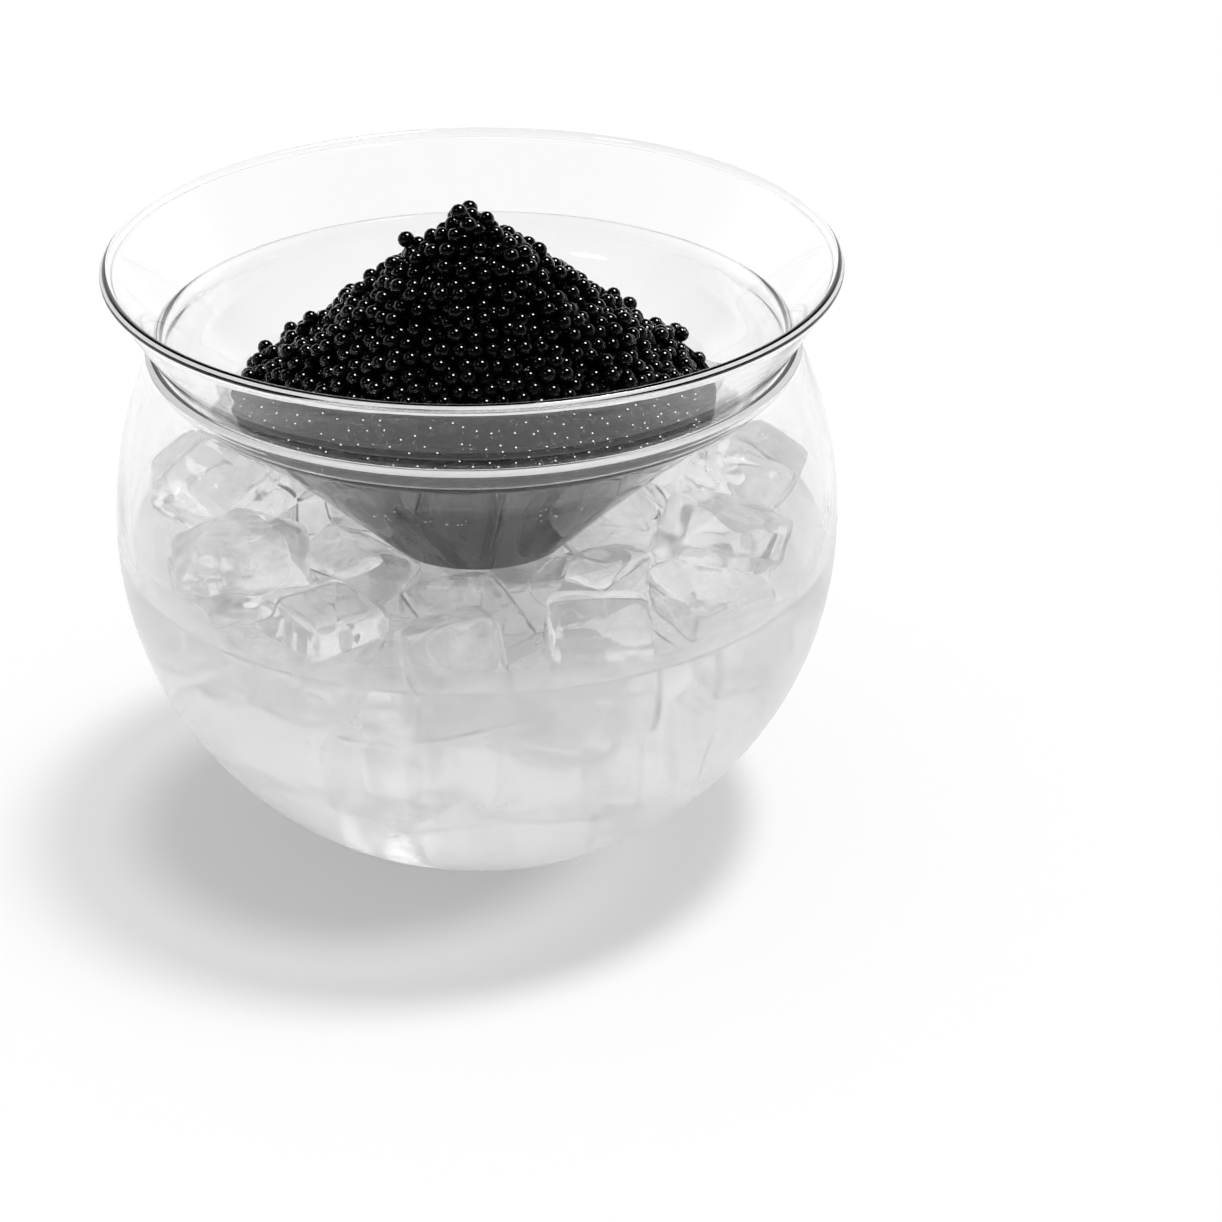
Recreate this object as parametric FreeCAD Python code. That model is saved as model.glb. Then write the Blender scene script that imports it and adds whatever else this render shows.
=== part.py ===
import FreeCAD, Part
import math
import os
import random

# Caviar server: a round glass bowl of ice, with a conical glass dish of caviar hanging in its mouth.
# Millimetres and degrees. Z is up, and the origin is the centre of the bowl's foot.

Vector = FreeCAD.Vector
UP = Vector(0, 0, 1)

# Bowl: sizes of its outside, from the foot up to the mouth
foot_radius = 24.0
foot_round = 12.0
belly_radius = 75.6
shoulder_radius = 90.0
shoulder_angle = 25.1
lip_turn_radius = 3.0
lip_lean = 20.0
bowl_wall = 2.1
lip_bead_radius = 1.2

# Dish: sizes of its outside, from the tip up to the rim. It hangs by its flare in the bowl's mouth
tip_flat_radius = 8.8
tip_round = 16.0
tip_angle = 45.3
cone_bow_radius = 760.0
knee_round = 8.0
flare_angle = 58.0
flare_below_seat = 6.8
flare_above_seat = 18.6
dish_wall = 1.8
rim_bead_radius = 1.15

# Clearances between pieces that rest on each other
seat_gap = 0.3
filling_gap = 0.3
ice_gap = 0.4

# Caviar: a heap that rises above the bowl's lip, with lumps and grains all over it
heap_rise = 28.9
heap_slope = 41.0
heap_blunting = 1.95
lump_spacing = 15.0
lump_height = 2.2
grain_spacing = 3.2
grain_relief = 1.3
grain_stray = 0.5
grain_seed = 3

# The grains lie in rings, with this many more in each ring than in the one inside it
grains_per_ring = 5

# Meltwater and ice cubes
water_depth = 65.5
cube_side = 21.0
cube_round = 2.5

# Ice cubes lie in rings, from the bottom up
ring_counts = (6, 3, 9, 6, 11)
ring_radii = (31.0, 14.0, 51.0, 28.0, 54.0)
ring_heights = (20.0, 41.0, 42.0, 58.0, 62.0)
ring_first_angles = (20.0, 75.0, -111.0, -100.0, -95.0)
ring_tilts = (16.0, 20.0, 12.0, 20.0, 22.0)
cube_drift = 2.4
cube_rise = 2.2
cube_spin = 45.0
cube_seed = 1


def sine(angle):
    return math.sin(math.radians(angle))


def cosine(angle):
    return math.cos(math.radians(angle))


# Profiles of blown glass are paths in the X-Z plane. A station is (x, z, heading), with the heading in degrees
# above +X. A move is (length, 0) for a straight run, or (radius, turn) for an arc, with a left turn positive.


def advance(station, size, turn):
    """The station at the end of one move."""
    x, z, heading = station
    if turn == 0:
        return (x + size * cosine(heading), z + size * sine(heading), heading)
    swing = math.copysign(size, turn)
    centre_x = x - swing * sine(heading)
    centre_z = z + swing * cosine(heading)
    heading += turn
    return (centre_x + swing * sine(heading), centre_z - swing * cosine(heading), heading)


def path_end(start, moves):
    """The station at the end of all the moves."""
    station = start
    for size, turn in moves:
        station = advance(station, size, turn)
    return station


def beside(station, inset):
    """The point that lies inset to the left of a station."""
    x, z, heading = station
    return Vector(x - inset * sine(heading), 0, z + inset * cosine(heading))


def path_edges(start, moves, inset):
    """The edges of a path, moved to its left by inset."""
    edges = []
    station = start
    for size, turn in moves:
        first = beside(station, inset)
        middle = beside(advance(station, size, turn / 2), inset)
        station = advance(station, size, turn)
        last = beside(station, inset)
        if turn == 0:
            edges.append(Part.LineSegment(first, last).toShape())
        else:
            edges.append(Part.Arc(first, middle, last).toShape())
    return edges


def turned(edges):
    """The solid that closed edges make when they are turned once round the Z axis."""
    face = Part.Face(Part.Wire(Part.__sortEdges__(edges)))
    return face.revolve(Vector(0, 0, 0), UP, 360)


def blown_glass(start, moves, wall, bead_radius):
    """A glass wall that follows a path, with a round fire-polished bead along its edge."""
    end = path_end(start, moves)
    edges = path_edges(start, moves, 0) + path_edges(start, moves, wall)
    edges.append(Part.LineSegment(beside(start, 0), beside(start, wall)).toShape())
    edges.append(Part.LineSegment(beside(end, 0), beside(end, wall)).toShape())
    bead = Part.makeTorus(beside(end, wall / 2).x, bead_radius, Vector(0, 0, beside(end, wall / 2).z))
    return turned(edges).fuse(bead).removeSplitter().Solids[0]


def filled(start, moves, inset):
    """The solid between a path moved by inset and the Z axis, level with the path's end."""
    edges = path_edges(start, moves, inset)
    edge = beside(path_end(start, moves), inset)
    centre = Vector(0, 0, edge.z)
    edges.append(Part.LineSegment(edge, centre).toShape())
    edges.append(Part.LineSegment(centre, beside(start, inset)).toShape())
    return turned(edges)


# Bowl

foot_angle = math.degrees(math.asin(foot_radius / (belly_radius - foot_round)))
bowl_start = (0.0, 0.0, 0.0)
bowl_moves = [
    (foot_radius, 0),
    (foot_round, foot_angle),
    (belly_radius, 90 - foot_angle),
    (shoulder_radius, shoulder_angle),
    (lip_turn_radius, -shoulder_angle - lip_lean),
]
lip_centre = beside(path_end(bowl_start, bowl_moves), bowl_wall / 2)

# Dish: its flare seats on the bowl's lip, and the knee ends below the seat. The cone's bow starts at the tip's
# round and touches the knee's round, so both centres and the heading where they touch are on one line

seat_reach = lip_bead_radius + seat_gap
knee_end_x = lip_centre.x - seat_reach * sine(flare_angle) - flare_below_seat * cosine(flare_angle)
knee_end_z = lip_centre.z + seat_reach * cosine(flare_angle) - flare_below_seat * sine(flare_angle)
knee_centre_x = knee_end_x - knee_round * sine(flare_angle)

tip_moves = [(tip_flat_radius, 0), (tip_round, tip_angle)]
bow_centre = beside(path_end((0.0, 0.0, 0.0), tip_moves), -cone_bow_radius)
cone_angle = math.degrees(math.asin((bow_centre.x - knee_centre_x) / (cone_bow_radius + knee_round)))
cone_moves = tip_moves + [
    (cone_bow_radius, cone_angle - tip_angle),
    (knee_round, flare_angle - cone_angle),
]
dish_start = (0.0, knee_end_z - path_end((0.0, 0.0, 0.0), cone_moves)[1], 0.0)
dish_moves = cone_moves + [(flare_below_seat + flare_above_seat, 0)]


# Caviar

heap_top = lip_centre.z + heap_rise


def heap_surface(x, y):
    """Height of the heap: even sides that run into a blunt top, with soft lumps."""
    side = math.hypot(x, y) * math.tan(math.radians(heap_slope))
    blunt_top = heap_top + heap_blunting - math.hypot(heap_blunting, side)
    along = math.sin(2 * math.pi * x / lump_spacing)
    across = math.cos(2 * math.pi * y / lump_spacing)
    return blunt_top + lump_height / 2 * along * across


def grain_tips(foot, ring_count):
    """The highest point of each grain, ring by ring from the top. The last ring lies on the heap's foot."""
    chance = random.Random(grain_seed)
    rings = []
    for ring in range(ring_count + 1):
        radius = foot.x * ring / ring_count
        size = max(1, grains_per_ring * ring)
        tips = []
        for step in range(size):
            angle = 360 * step / size
            x = radius * cosine(angle)
            y = radius * sine(angle)
            if ring == ring_count:
                tips.append(Vector(x, y, foot.z))
            else:
                x += chance.uniform(-grain_stray, grain_stray)
                y += chance.uniform(-grain_stray, grain_stray)
                tips.append(Vector(x, y, heap_surface(x, y)))
        rings.append(tips)
    return rings


def ring_triangles(ring_count):
    """Triples of neighbouring grains, each grain as its ring and its place in it, counted round from +X."""
    triples = []
    for ring in range(ring_count):
        inner_size = max(1, grains_per_ring * ring)
        outer_size = grains_per_ring * (ring + 1)
        for sector in range(grains_per_ring):
            for step in range(ring + 1):
                inner = (ring, (sector * ring + step) % inner_size)
                outer = (ring + 1, sector * (ring + 1) + step)
                beyond_outer = (ring + 1, (sector * (ring + 1) + step + 1) % outer_size)
                triples.append((inner, outer, beyond_outer))
                if step < ring:
                    beyond_inner = (ring, (sector * ring + step + 1) % inner_size)
                    triples.append((inner, beyond_outer, beyond_inner))
    return triples


def make_grains(foot):
    """A heap of grains on a flat base: each grain is a point with a slope down to each pit between it and two
    neighbours."""
    ring_count = round(foot.x / cosine(heap_slope) / grain_spacing)
    tips = grain_tips(foot, ring_count)
    pits = {}
    for triple in ring_triangles(ring_count):
        corners = [tips[ring][place] for ring, place in triple]
        pit = (corners[0] + corners[1] + corners[2]) / 3
        pit.z = max(pit.z - grain_relief, foot.z + filling_gap)
        for first, second in zip(triple, triple[1:] + triple[:1]):
            pits[first, second] = pit
    faces = []
    for (first, second), pit in pits.items():
        tip = tips[first[0]][first[1]]
        other = pits[second, first] if (second, first) in pits else tips[second[0]][second[1]]
        faces.append(Part.Face(Part.makePolygon([tip, other, pit, tip])))
    faces.append(Part.Face(Part.makePolygon(tips[-1] + tips[-1][:1])))
    return Part.Solid(Part.Shell(faces))


def make_caviar():
    """Fills the dish level to where the heap meets its wall, and heaps grains on top."""
    inset = dish_wall + filling_gap
    peak = Vector(0, 0, heap_top + heap_blunting)
    far = Vector(peak.z / math.tan(math.radians(heap_slope)), 0, 0)
    side = Part.LineSegment(peak, far).toShape()
    foot = Part.Wire(path_edges(dish_start, dish_moves, inset)).distToShape(side)[1][0][0]
    level = filled(dish_start, dish_moves, inset).common(Part.makeCylinder(far.x, foot.z))
    return level.fuse(make_grains(foot)).Solids[0]


# Ice and meltwater


def cube_places():
    """Where each ice cube lies: its centre and how it is turned."""
    chance = random.Random(cube_seed)
    places = []
    for count, radius, height, first_angle, tilt in zip(
        ring_counts, ring_radii, ring_heights, ring_first_angles, ring_tilts
    ):
        for step in range(count):
            angle = first_angle + 360 * step / count + math.degrees(chance.uniform(-cube_drift, cube_drift) / radius)
            lift = chance.uniform(-cube_rise, cube_rise)
            centre = Vector(radius * cosine(angle), radius * sine(angle), height + lift)
            spin = FreeCAD.Rotation(UP, angle + chance.uniform(-cube_spin, cube_spin))
            lean_way = chance.uniform(0, 360)
            lean_axis = Vector(cosine(lean_way), sine(lean_way), 0)
            lean = FreeCAD.Rotation(lean_axis, chance.uniform(-tilt, tilt))
            places.append(FreeCAD.Placement(centre, lean.multiply(spin)))
    return places


def block(place, side):
    """A cube of that side, centred on a place and turned with it."""
    shape = Part.makeBox(side, side, side, Vector(-side / 2, -side / 2, -side / 2))
    shape.Placement = place
    return shape


def beyond(point, direction):
    """A block that takes away what lies past a plane."""
    shape = Part.makeBox(2 * belly_radius, 2 * belly_radius, 2 * cube_side, Vector(-belly_radius, -belly_radius, 0))
    shape.Placement = FreeCAD.Placement(point, FreeCAD.Rotation(UP, direction))
    return shape


def make_cube(place, places, bowl_space, dish_space):
    """An ice cube with melted edges, flattened where it meets its neighbours, the bowl and the dish."""
    cube = block(FreeCAD.Placement(), cube_side)
    cube = cube.makeFillet(cube_round, cube.Edges)
    cube.Placement = place
    corners = [vertex.Point for vertex in block(place, cube_side).Vertexes]
    for other in places:
        apart = other.Base - place.Base
        if apart.Length > 0:
            direction = apart.normalize()
            face = (place.Base + other.Base) * 0.5 - direction * (ice_gap / 2)
            if max((corner - face).dot(direction) for corner in corners) > 0:
                cube = cube.cut(beyond(face, direction))
    if max(corner.z for corner in corners) > dish_start[1] - filling_gap:
        cube = cube.cut(dish_space)
    return cube.common(bowl_space).Solids[0]


def make_cubes(places):
    bowl_space = filled(bowl_start, bowl_moves[:-1], bowl_wall + filling_gap)
    dish_space = filled(dish_start, dish_moves, -filling_gap)
    return [make_cube(place, places, bowl_space, dish_space) for place in places]


def make_meltwater(places):
    """Water that fills the bowl round the ice, up to its level, with a hollow for each cube and for the tip."""
    bowl_space = filled(bowl_start, bowl_moves[:-1], bowl_wall + filling_gap)
    surface = bowl_wall + filling_gap + water_depth
    air = Part.makeCylinder(belly_radius, belly_radius, Vector(0, 0, surface))
    hollows = [block(place, cube_side + 2 * filling_gap) for place in places]
    water = bowl_space.cut([air, filled(dish_start, dish_moves, -filling_gap)] + hollows)
    return max(water.Solids, key=lambda solid: solid.Volume)


def main():
    places = cube_places()
    pieces = {
        "ice_bowl": blown_glass(bowl_start, bowl_moves, bowl_wall, lip_bead_radius),
        "caviar_dish": blown_glass(dish_start, dish_moves, dish_wall, rim_bead_radius),
        "caviar": make_caviar(),
        "meltwater": make_meltwater(places),
    }
    for number, cube in enumerate(make_cubes(places), 1):
        pieces["ice_cube_%02d" % number] = cube
    os.makedirs("parts", exist_ok=True)
    for name, shape in pieces.items():
        shape.exportStep("parts/%s.step" % name)
        print(name, round(shape.Volume / 1000, 2), "cm3", shape.isValid(), len(shape.Solids))


main()
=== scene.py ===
"""Looks of a caviar server: a round glass bowl of ice, and a conical glass dish of caviar in its mouth."""

import math

import bpy
import numpy as np
from mathutils import Matrix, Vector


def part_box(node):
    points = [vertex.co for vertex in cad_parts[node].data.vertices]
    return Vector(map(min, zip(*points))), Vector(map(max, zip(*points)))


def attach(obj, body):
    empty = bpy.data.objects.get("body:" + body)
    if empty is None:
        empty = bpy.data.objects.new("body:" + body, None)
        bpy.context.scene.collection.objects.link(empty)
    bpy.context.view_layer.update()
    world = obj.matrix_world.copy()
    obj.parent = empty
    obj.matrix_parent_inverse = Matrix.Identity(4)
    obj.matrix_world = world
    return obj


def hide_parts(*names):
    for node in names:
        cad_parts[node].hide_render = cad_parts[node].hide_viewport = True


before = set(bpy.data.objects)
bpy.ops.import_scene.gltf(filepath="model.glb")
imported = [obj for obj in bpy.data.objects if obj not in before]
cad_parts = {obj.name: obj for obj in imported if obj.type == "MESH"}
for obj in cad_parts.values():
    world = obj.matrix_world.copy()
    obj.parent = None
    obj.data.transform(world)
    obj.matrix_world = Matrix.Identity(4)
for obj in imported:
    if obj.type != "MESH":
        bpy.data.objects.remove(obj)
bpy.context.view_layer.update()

bl_info = {
    "name": "Caviar server",
    "version": (1, 0, 0),
    "blender": (4, 5, 0),
    "location": "View3D > Sidebar > Caviar server",
    "description": "Blown glass, ice, meltwater and caviar round a measured frame",
    "category": "Add Mesh",
}

MM = 0.001

# Steps round a turned form, along the bead of an edge, and along the side of an ice cube
TURNS = 256
BEAD_POINTS = 36
CUBE_STEPS = 14

# Places read from the measured frame
CUBE_NAMES = sorted(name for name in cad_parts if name.startswith("ice_cube"))
DISH_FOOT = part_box("caviar_dish")[0].z
WATER_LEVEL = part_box("meltwater")[1].z
HEAP_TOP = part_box("caviar")[1].z
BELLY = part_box("ice_bowl")[1].x

# Share of a lamp's light that goes through one surface. It sets how dark a shadow the glass throws.
BOWL_PASSES = 0.72
BOWL_EDGE_PASSES = 0.82
DISH_PASSES = 0.93
ICE_PASSES = 0.97
WATER_PASSES = 0.93

# Directions between which the painted highlight strips on an edge face, in degrees up from level
BOWL_GLINTS = [(10, 74)]
DISH_GLINTS = [(-42, -6), (30, 60)]


def length(name, description, default):
    """A size in metres that a user can change."""
    return bpy.props.FloatProperty(
        name=name, description=description, default=default, min=0, unit="LENGTH", precision=5
    )


def colour(name, description, code):
    """A colour that a user can change, with its default from an sRGB hex value."""
    return bpy.props.FloatVectorProperty(
        name=name, description=description, default=linear(code)[:3], min=0, max=1, size=3, subtype="COLOR"
    )


def linear(code):
    """Linear red, green, blue and alpha of an sRGB hex value."""
    parts = np.array([code >> 16 & 255, code >> 8 & 255, code & 255]) / 255
    straight = np.where(parts <= 0.04045, parts / 12.92, ((parts + 0.055) / 1.055) ** 2.4)
    return (*straight.tolist(), 1.0)


class GlassSizes(bpy.types.PropertyGroup):
    """Sizes and colour of the blown glass"""

    bowl_wall: length("Bowl wall", "Thickness of the bowl's glass", 2.1 * MM)
    foot_radius: length("Foot", "Radius of the bowl's flat foot", 24 * MM)
    foot_round: length("Foot round", "Radius of the turn from the foot into the belly", 12 * MM)
    shoulder_radius: length("Shoulder", "Radius of the curve from the belly to the mouth", 90 * MM)
    lip_turn: length("Lip turn", "Radius of the turn into the lip", 3 * MM)
    lip_bead: length("Lip bead", "Radius of the fire-polished lip", 1.2 * MM)
    dish_wall: length("Dish wall", "Thickness of the dish's glass", 1.8 * MM)
    tip_flat: length("Tip", "Radius of the flat under the dish", 8.8 * MM)
    tip_round: length("Tip round", "Radius of the turn from the tip into the cone", 16 * MM)
    cone_bow: length("Cone bow", "Radius of the cone's slight bow", 760 * MM)
    knee: length("Knee", "Radius of the turn from the cone into the flare", 8 * MM)
    below_seat: length("Below the seat", "Length of the flare below the bowl's lip", 6.8 * MM)
    above_seat: length("Above the seat", "Length of the flare above the bowl's lip", 18.6 * MM)
    seat_gap: length("Seat gap", "Gap between the dish and the bowl's lip", 0.3 * MM)
    rim_bead: length("Rim bead", "Radius of the fire-polished rim", 1.15 * MM)
    swell: length("Swell", "How far the blown glass is thicker or thinner from place to place", 0.06 * MM)
    tint: colour("Glass", "Colour that the glass gives to what is seen through it", 0xFEFEFE)


class IceSizes(bpy.types.PropertyGroup):
    """Sizes and colours of the ice and the water round it"""

    ripple: length("Ripple", "Depth of the hollows that melting leaves in a cube", 0.8 * MM)
    cube: length("Cube", "Side of a cube from the tray", 21 * MM)
    top_ring: length("Top ring", "Radius of the ring of cubes that lie on the others", 54 * MM)
    top_rise: length("Top rise", "Height of their centres above the water", 14 * MM)
    top_count: bpy.props.IntProperty(name="Top cubes", description="How many lie there", default=9, min=1)
    top_seed: bpy.props.IntProperty(name="Top seed", description="Which way they fell", default=4)
    film: length("Film", "How far water, glass and ice reach into each other", 0.2 * MM)
    meniscus: length("Meniscus", "How far the water climbs the glass", 1.6 * MM)
    tint: colour("Ice", "Colour of clear ice", 0xFEFEFE)
    water_tint: colour("Water", "Colour of meltwater", 0xFEFEFE)


class RoeSizes(bpy.types.PropertyGroup):
    """Sizes and colour of the caviar"""

    grain: length("Grain", "Diameter of a grain of roe", 3.5 * MM)
    depth: length("Depth", "Thickness of the layer of loose grains over the heap", 5.6 * MM)
    lump: length("Lump", "How high the heap's even lumps are", 2.2 * MM)
    lump_spacing: length("Lump spacing", "Distance over which the lumps repeat", 15 * MM)
    loose: length("Loose lumps", "How far the heap is uneven beside that", 4.5 * MM)
    count: bpy.props.IntProperty(name="Grains", description="Number of loose grains", default=2350, min=1)
    seed: bpy.props.IntProperty(name="Grain seed", description="How the grains fell", default=11)
    tint: colour("Roe", "Colour of the grains", 0x060505)


class StudioLight(bpy.types.PropertyGroup):
    """Strengths of the studio light"""

    key: bpy.props.FloatProperty(name="Key", description="Strength of the key lamp", default=1.7, min=0)
    key_softness: bpy.props.FloatProperty(
        name="Softness", description="How wide the key lamp looks", default=math.radians(11), subtype="ANGLE"
    )
    fill: bpy.props.FloatProperty(
        name="Fill", description="Strength of the light from all round", default=0.35, min=0
    )
    glow: bpy.props.FloatProperty(
        name="Glow", description="What tops the floor up to white", default=0.05, min=0
    )


# Meshes


def new_mesh(name, points, faces, material):
    """A smooth mesh object from an array of points and a list of arrays of corners, one for each count."""
    mesh = bpy.data.meshes.new(name)
    corners = np.concatenate([np.ravel(part) for part in faces]).astype(np.int32)
    sizes = np.concatenate([np.full(len(part), part.shape[1]) for part in faces])
    starts = np.concatenate([[0], np.cumsum(sizes)[:-1]]).astype(np.int32)
    mesh.vertices.add(len(points))
    mesh.vertices.foreach_set("co", np.ravel(points).astype(np.float32))
    mesh.loops.add(len(corners))
    mesh.loops.foreach_set("vertex_index", corners)
    mesh.polygons.add(len(sizes))
    mesh.polygons.foreach_set("loop_start", starts)
    mesh.polygons.foreach_set("use_smooth", np.ones(len(sizes), bool))
    mesh.update(calc_edges=True)
    mesh.validate()
    mesh.materials.append(material)
    made = bpy.data.objects.new(name, mesh)
    bpy.context.scene.collection.objects.link(made)
    return made


def add_piece(made, slot, *nodes):
    """Makes an object a piece of the server that stands for these solids of the frame.

    Ice and water are so clear that lamps are let straight through them.
    """
    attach(made, "root")
    if nodes:
        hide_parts(*nodes)
    if slot in ("ice", "water"):
        made.visible_shadow = False
        made.visible_diffuse = False


def path(start, moves, inset, step=1.4 * MM):
    """Points beside a path in the X-Z plane, moved to its left by inset.

    The start is x, z and a heading in degrees, and the end is given back the same way. A move is a
    length and 0 for a straight run, where a point is the start plus its share of the run along the
    heading. It is a radius and a turn for an arc, where a point is the centre plus the radius along the
    normal at its share of the turn.
    """
    x, z, heading = start
    parts = []
    for size, turn in moves:
        run = size if turn == 0 else size * math.radians(abs(turn))
        share = np.linspace(0, 1, max(2, math.ceil(run / step) + 1))
        angles = np.radians(heading + turn * share)
        if turn == 0:
            across, along = x + size * share * np.cos(angles), z + size * share * np.sin(angles)
        else:
            swing = math.copysign(size, turn)
            centre_x = x - swing * math.sin(math.radians(heading))
            centre_z = z + swing * math.cos(math.radians(heading))
            across, along = centre_x + swing * np.sin(angles), centre_z - swing * np.cos(angles)
        x, z, heading = across[-1], along[-1], heading + turn
        beside = np.stack([across - inset * np.sin(angles), along + inset * np.cos(angles)], 1)
        parts.append(beside if not parts else beside[1:])
    return np.concatenate(parts), (x, z, heading)


def wall_profile(start, moves, wall, bead):
    """Outline of a glass wall's section: out along the path, round the bead, and back along the inside.

    The bead is a circle on the middle of the wall's end. The outline joins it where the circle's chord is as
    long as the wall is thick. The number of the inside's first point is given too.
    """
    reach = math.sqrt(bead**2 - (wall / 2) ** 2)
    size, turn = moves[-1]
    if turn == 0:
        shorter = (size - reach, 0)
    else:
        shorter = (size, turn * (1 - reach / (size * math.radians(abs(turn)))))
    cut = [*moves[:-1], shorter]
    outside, _ = path(start, cut, 0)
    inside, _ = path(start, cut, wall)
    end, (x, z, heading) = path(start, moves, wall / 2)
    swing = math.degrees(math.atan2(wall / 2, -reach))
    angles = np.radians(heading + np.linspace(-swing, swing, BEAD_POINTS + 2)[1:-1])
    round_bead = end[-1] + bead * np.stack([np.cos(angles), np.sin(angles)], 1)
    return np.concatenate([outside, round_bead, inside[::-1]]), len(outside) + len(round_bead)


def lathe(outline, turns=TURNS, shift=None):
    """A closed surface of revolution: each point of the outline, from axis to axis, goes round Z.

    A point is the radius along the cosine and sine of its angle, and the height. The first and last
    points are poles. Shift gives distances by outline point and angle that points move along the
    outline's left normal.
    """
    angles = np.linspace(0, 2 * math.pi, turns, endpoint=False)
    ring = outline[1:-1]
    across = np.repeat(ring[:, :1], turns, 1)
    height = np.repeat(ring[:, 1:], turns, 1)
    if shift is not None:
        along = np.gradient(ring, axis=0)
        along /= np.linalg.norm(along, axis=1, keepdims=True)
        across = across - along[:, 1:] * shift
        height = height + along[:, :1] * shift
    rings = np.stack([across * np.cos(angles), across * np.sin(angles), height], 2).reshape(-1, 3)
    poles = np.array([[0, 0, outline[0, 1]], [0, 0, outline[-1, 1]]])
    points = np.concatenate([rings, poles])
    index = np.arange(len(ring) * turns).reshape(len(ring), turns)
    beside = np.roll(index, -1, 1)
    quads = np.stack([index[:-1], beside[:-1], beside[1:], index[1:]], 2).reshape(-1, 4)
    first = np.full(turns, len(rings))
    low_cap = np.stack([first, beside[0], index[0]], 1)
    high_cap = np.stack([first + 1, index[-1], beside[-1]], 1)
    return points, [quads, np.concatenate([low_cap, high_cap])]


def waves(points, number, size):
    """Smooth uneven values between -1 and 1: sines of the place along three skew directions, multiplied."""
    turn = 2 * math.pi / size
    x, y, z = np.moveaxis(points, -1, 0)
    first = np.sin(turn * (0.83 * x + 0.41 * y - 0.37 * z) + 1.7 * number)
    second = np.sin(turn * (-0.36 * x + 0.79 * y + 0.49 * z) + 2.9 * number + 1)
    third = np.sin(turn * (0.42 * x - 0.45 * y + 0.78 * z) + 0.6 * number + 2)
    return (first * second + second * third + third * first) / 3


# Node trees

SMOOTH = {"interpolation_type": "SMOOTHSTEP"}
TIMES = {"operation": "MULTIPLY"}
TIMES_PLUS = {"operation": "MULTIPLY_ADD"}
LARGER = {"operation": "MAXIMUM"}
PLUS = {"operation": "ADD"}
ABOVE = {"operation": "GREATER_THAN"}
BELOW = {"operation": "LESS_THAN"}


def add_node(tree, kind, settings=None, inputs=None):
    """Adds a node, sets its properties, and sets each input to a value or links it to a socket.

    An input that is given a node is linked to the node's first output.
    """
    made = tree.nodes.new("ShaderNode" + kind)
    for name, value in (settings or {}).items():
        setattr(made, name, value)
    for name, value in (inputs or {}).items():
        if isinstance(value, bpy.types.Node):
            value = value.outputs[0]
        if isinstance(value, bpy.types.NodeSocket):
            tree.links.new(value, made.inputs[name])
        else:
            made.inputs[name].default_value = value
    return made


def new_material(name):
    """An empty material, its node tree, and the place on the object that its patterns read."""
    material = bpy.data.materials.new(name)
    material.use_nodes = True
    tree = material.node_tree
    tree.nodes.clear()
    place = add_node(tree, "TexCoord").outputs["Object"]
    return material, tree, place


def pattern(place, size, detail):
    """Inputs of a noise texture whose blots are about as large as a size."""
    return {"Vector": place, "Scale": 1 / size, "Detail": detail}


def fade(value, low, high, first, last):
    """Inputs of a map range that goes from first to last while the value goes from low to high."""
    return {"Value": value, "From Min": low, "From Max": high, "To Min": first, "To Max": last}


def clear_solid(tint, ior):
    """Inputs of a shader for something clear with a polished surface."""
    return {"Base Color": (*tint, 1), "Transmission Weight": 1.0, "IOR": ior, "Roughness": 0.0}


def shade(tint, factor):
    """The same colour, darker or lighter by a factor."""
    return (*[factor * part for part in tint], 1)


def finish_clear(tree, shader, passed):
    """Ends a clear material: lamps go straight through it, dimmed to a share at each surface.

    Light that something else has scattered goes straight through it too, and is dimmed less.
    """
    scattered_passed = 0.95
    rays = add_node(tree, "LightPath")
    lamp, bounced = rays.outputs["Is Shadow Ray"], rays.outputs["Is Diffuse Ray"]
    either = add_node(tree, "Math", LARGER, {0: lamp, 1: bounced})
    share = {0: lamp, 1: passed - scattered_passed, 2: scattered_passed}
    dimmed = add_node(tree, "Math", TIMES_PLUS, share)
    straight = add_node(tree, "BsdfTransparent", {}, {"Color": dimmed})
    mix = add_node(tree, "MixShader", {}, {0: either, 1: shader, 2: straight})
    add_node(tree, "OutputMaterial", {}, {"Surface": mix})


def white_scatter(tree):
    """White light scattered to both sides alike, as by dew or by small bubbles. On a glass edge's strips it
    is a painted highlight.
    """
    white = linear(0xFEFEFE)
    back = add_node(tree, "BsdfTranslucent", {}, {"Color": white})
    front = add_node(tree, "BsdfDiffuse", {}, {"Color": white})
    return add_node(tree, "MixShader", {}, {0: 0.5, 1: back, 2: front})


# Materials

GLASS_IOR = 1.47
ICE_IOR = 1.31
WATER_IOR = 1.333


def blown_borosilicate(tint, passed):
    """Borosilicate glass, blown and fire-polished: colourless, and nearly unseen but for its edges."""
    material, tree, _ = new_material("borosilicate_blown")
    glass = add_node(tree, "BsdfPrincipled", {}, clear_solid(tint, GLASS_IOR))
    finish_clear(tree, glass, passed)
    return material


def painted_edge_glint(tint, passed):
    """Borosilicate glass on strips of a fire-polished edge, mixed with white scatter: a painted highlight, a
    white line that stands for the light the wall pipes out of the edge.
    """
    # Share of the painted white highlight in the edge's glass
    white_share = 0.8
    material, tree, _ = new_material("borosilicate_painted_glint")
    glass = add_node(tree, "BsdfPrincipled", {}, clear_solid(tint, GLASS_IOR))
    both = add_node(tree, "MixShader", {}, {0: white_share, 1: glass, 2: white_scatter(tree)})
    finish_clear(tree, both, passed)
    return material


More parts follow.
